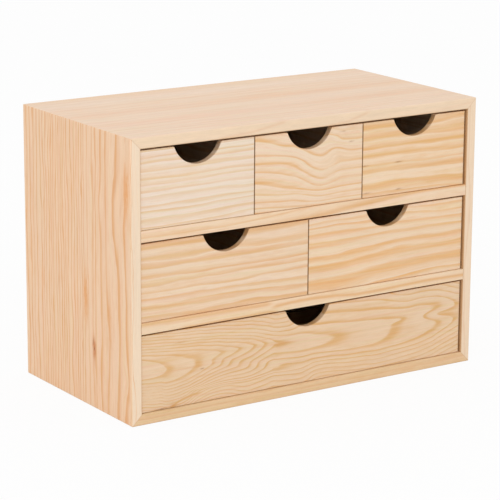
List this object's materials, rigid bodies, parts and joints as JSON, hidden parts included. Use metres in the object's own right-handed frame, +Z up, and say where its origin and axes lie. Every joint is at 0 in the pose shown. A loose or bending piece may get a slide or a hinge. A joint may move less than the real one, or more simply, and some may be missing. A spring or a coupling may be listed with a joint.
{
  "type": "desktop mini drawers",
  "caption": "Table-top pine chest with small sliding drawers in rows, each with a half-moon finger notch in its front.",
  "frame": {"origin": "middle of the underside, at the height of the surface that the case stands on", "axes": "+X to the right as seen from the drawers' side, +Y from the drawer fronts to the back, +Z up"},
  "size_m": [0.37, 0.19, 0.253],
  "materials": {
    "pine_case": "sanded bare pine",
    "pine_front": "sanded bare pine, grain across",
    "pine_drawer": "planed bare pine",
    "plywood_back": "bare plywood",
    "plywood_bottom": "bare plywood",
    "beech_dowel": "bare beech",
    "steel_nail": "bright steel"
  },
  "bodies": {
    "case": {"top_panel": "pine_case", "bottom_panel": "pine_case", "left_side_panel": "pine_case", "right_side_panel": "pine_case", "upper_shelf": "pine_case", "lower_shelf": "pine_case", "back_panel": "plywood_back", "mitre_tongues": "plywood_back", "shelf_dowels": "beech_dowel", "back_panel_nails": "steel_nail"},
    "top_left_drawer": {"top_left_drawer_front": "pine_front", "top_left_drawer_left_side": "pine_drawer", "top_left_drawer_right_side": "pine_drawer", "top_left_drawer_back": "pine_drawer", "top_left_drawer_bottom": "plywood_bottom", "top_left_drawer_brads": "steel_nail"},
    "top_middle_drawer": {"top_middle_drawer_front": "pine_front", "top_middle_drawer_left_side": "pine_drawer", "top_middle_drawer_right_side": "pine_drawer", "top_middle_drawer_back": "pine_drawer", "top_middle_drawer_bottom": "plywood_bottom", "top_middle_drawer_brads": "steel_nail"},
    "top_right_drawer": {"top_right_drawer_front": "pine_front", "top_right_drawer_left_side": "pine_drawer", "top_right_drawer_right_side": "pine_drawer", "top_right_drawer_back": "pine_drawer", "top_right_drawer_bottom": "plywood_bottom", "top_right_drawer_brads": "steel_nail"},
    "middle_left_drawer": {"middle_left_drawer_front": "pine_front", "middle_left_drawer_left_side": "pine_drawer", "middle_left_drawer_right_side": "pine_drawer", "middle_left_drawer_back": "pine_drawer", "middle_left_drawer_bottom": "plywood_bottom", "middle_left_drawer_brads": "steel_nail"},
    "middle_right_drawer": {"middle_right_drawer_front": "pine_front", "middle_right_drawer_left_side": "pine_drawer", "middle_right_drawer_right_side": "pine_drawer", "middle_right_drawer_back": "pine_drawer", "middle_right_drawer_bottom": "plywood_bottom", "middle_right_drawer_brads": "steel_nail"},
    "bottom_drawer": {"bottom_drawer_front": "pine_front", "bottom_drawer_left_side": "pine_drawer", "bottom_drawer_right_side": "pine_drawer", "bottom_drawer_back": "pine_drawer", "bottom_drawer_bottom": "plywood_bottom", "bottom_drawer_brads": "steel_nail"}
  },
  "joints": [
    {"name": "top_left_drawer_slide", "type": "slide", "parent": "case", "child": "top_left_drawer", "axis": [0, -1, 0], "range_m": [0, 0.15]},
    {"name": "top_middle_drawer_slide", "type": "slide", "parent": "case", "child": "top_middle_drawer", "axis": [0, -1, 0], "range_m": [0, 0.15]},
    {"name": "top_right_drawer_slide", "type": "slide", "parent": "case", "child": "top_right_drawer", "axis": [0, -1, 0], "range_m": [0, 0.15]},
    {"name": "middle_left_drawer_slide", "type": "slide", "parent": "case", "child": "middle_left_drawer", "axis": [0, -1, 0], "range_m": [0, 0.15]},
    {"name": "middle_right_drawer_slide", "type": "slide", "parent": "case", "child": "middle_right_drawer", "axis": [0, -1, 0], "range_m": [0, 0.15]},
    {"name": "bottom_drawer_slide", "type": "slide", "parent": "case", "child": "bottom_drawer", "axis": [0, -1, 0], "range_m": [0, 0.15]}
  ]
}
